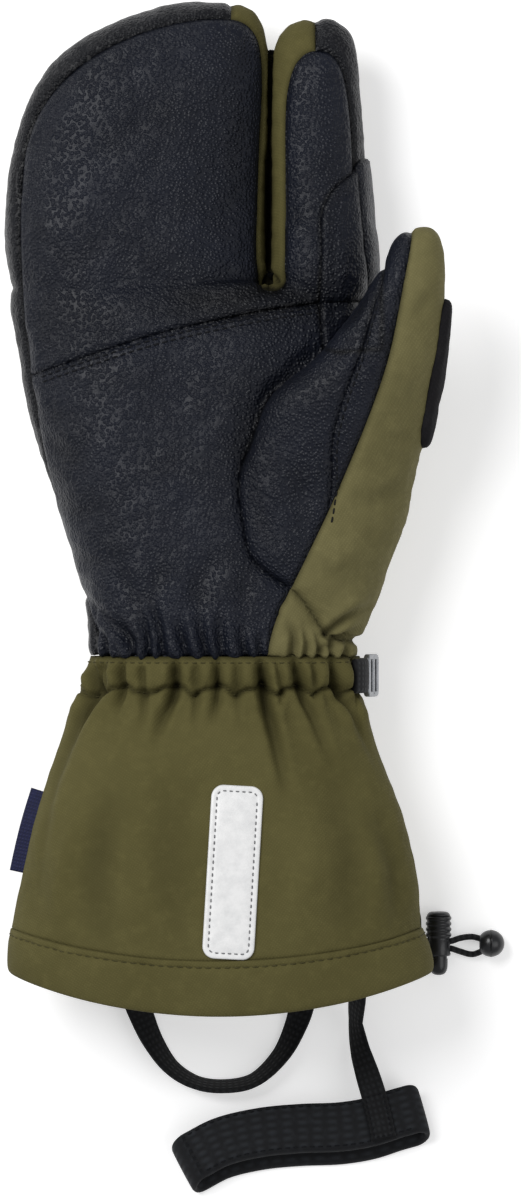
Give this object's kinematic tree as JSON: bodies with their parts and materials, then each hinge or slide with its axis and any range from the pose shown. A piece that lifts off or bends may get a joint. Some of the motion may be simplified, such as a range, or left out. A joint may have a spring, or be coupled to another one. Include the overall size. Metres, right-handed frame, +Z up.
{
  "type": "three-compartment ski glove with gauntlet cuff",
  "caption": "Padded winter glove with leather palm, split finger compartments, thumb, gathered wrist, flared cloth cuff with drawcord, hang loop and wrist leash.",
  "frame": {"origin": "on the table under the middle of the glove's bounding box without its drawcord", "axes": "+X across the hand towards the thumb, +Y along the hand towards the fingertips, +Z up out of the palm"},
  "size_m": [0.1683, 0.4026, 0.07],
  "materials": {
    "palm_leather": "pebbled, slightly waxy",
    "strip_leather": "pebbled, slightly waxy",
    "shell_cloth": "matte, fine twill",
    "suede": "soft brushed nap",
    "reflective_film": "retroreflective film",
    "webbing": "woven webbing",
    "cord": "braided elastic cord",
    "label_cloth": "woven label",
    "black_plastic": "fine satin",
    "grey_plastic": "metallic grey"
  },
  "bodies": {
    "glove": {"palm_leather": "palm_leather", "heel_leather": "palm_leather", "back_cloth": "shell_cloth", "side_strip_leather": "strip_leather", "finger_strip_cloth": "shell_cloth", "index_strip_cloth": "shell_cloth", "index_strip_leather": "strip_leather", "wrist_gusset_cloth": "shell_cloth", "index_overlay_leather": "palm_leather", "thumb_inner_leather": "palm_leather", "thumb_outer_leather": "palm_leather", "thumb_cloth": "shell_cloth", "thumb_wipe": "suede", "cuff_front_cloth": "shell_cloth", "cuff_back_cloth": "shell_cloth", "hem_cloth": "shell_cloth", "cuff_patch": "reflective_film", "side_label": "label_cloth", "hang_loop": "webbing", "leash_band": "webbing", "leash_strap": "webbing", "wrist_strap": "webbing", "buckle_tab": "webbing", "wrist_buckle": "grey_plastic", "drawcord_upper": "cord", "drawcord_lower": "cord", "cord_end_bead": "black_plastic", "cord_lock_body": "black_plastic"},
    "lock_button": {"cord_lock_button": "black_plastic"}
  },
  "joints": [
    {"name": "cord_lock_press", "type": "slide", "parent": "glove", "child": "lock_button", "axis": [0, 1, 0], "range_m": [0, 0.002], "stiffness_N_per_m": 1200}
  ]
}
